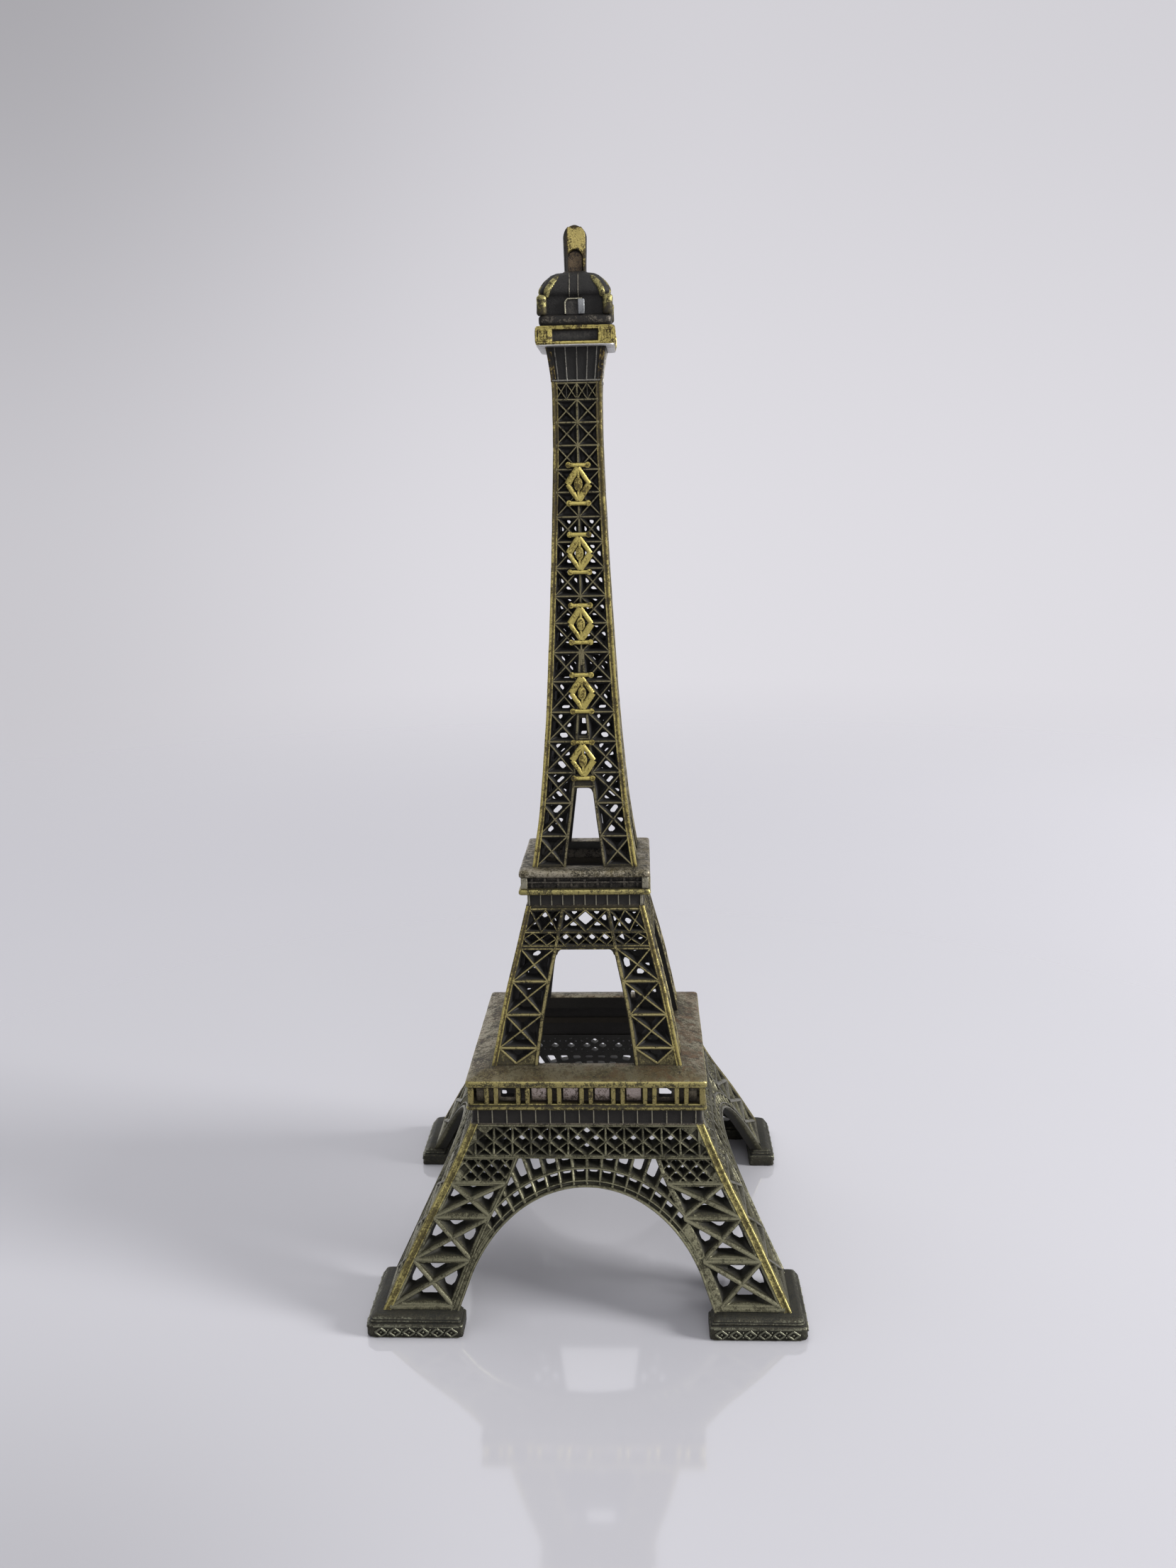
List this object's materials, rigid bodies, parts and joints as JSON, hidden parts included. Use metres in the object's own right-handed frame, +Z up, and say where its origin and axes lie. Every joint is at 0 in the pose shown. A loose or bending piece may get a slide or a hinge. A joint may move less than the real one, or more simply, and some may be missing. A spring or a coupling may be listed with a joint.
{
  "type": "miniature landmark model",
  "caption": "Miniature lattice tower souvenir with four arched legs, two square platforms, a tapering column and a domed top with a rounded finial.",
  "frame": {"origin": "centre of the square footprint, on the table plane", "axes": "+Z up along the tower, -Y is the ornamented front, +X to the right seen from the front"},
  "size_m": [0.0734, 0.0734, 0.18],
  "materials": {
    "olive_patina": "antique, dark olive patina with worn edges",
    "dark_patina": "antique, near-black patina, fine cast grain",
    "worn_gold": "antique, brushed highlights over dark recesses",
    "gold_lattice": "antique, gold rubbed edges, black recesses",
    "bronze_deck": "mottled bronze, satin",
    "pale_deck": "mottled pale worn metal, satin"
  },
  "bodies": {
    "root": {"base_arch_panel_front": "olive_patina", "base_arch_panel_left": "olive_patina", "base_arch_panel_rear": "olive_patina", "base_arch_panel_right": "olive_patina", "column_ornament_1": "worn_gold", "column_ornament_2": "worn_gold", "column_ornament_3": "worn_gold", "column_ornament_4": "worn_gold", "column_ornament_5": "worn_gold", "column_panel_front": "gold_lattice", "column_panel_left": "gold_lattice", "column_panel_rear": "gold_lattice", "column_panel_right": "gold_lattice", "dome": "dark_patina", "dome_boss_front_left": "worn_gold", "dome_boss_front_right": "worn_gold", "dome_boss_rear_left": "worn_gold", "dome_boss_rear_right": "worn_gold", "dome_door_block": "pale_deck", "dome_plinth": "dark_patina", "finial": "worn_gold", "first_balustrade_front": "worn_gold", "first_balustrade_left": "worn_gold", "first_balustrade_rear": "worn_gold", "first_balustrade_right": "worn_gold", "first_deck": "bronze_deck", "first_frieze_ring": "dark_patina", "first_gallery_wall": "dark_patina", "first_ledge_ring": "worn_gold", "foot_plinth_front_left": "olive_patina", "foot_plinth_front_right": "olive_patina", "foot_plinth_rear_left": "olive_patina", "foot_plinth_rear_right": "olive_patina", "middle_panel_front": "gold_lattice", "middle_panel_left": "gold_lattice", "middle_panel_rear": "gold_lattice", "middle_panel_right": "gold_lattice", "neck_collar": "dark_patina", "second_cornice_core": "dark_patina", "second_deck": "pale_deck", "second_frieze_ring": "dark_patina", "second_ledge_ring": "worn_gold", "top_gallery_band": "worn_gold"}
  },
  "joints": []
}
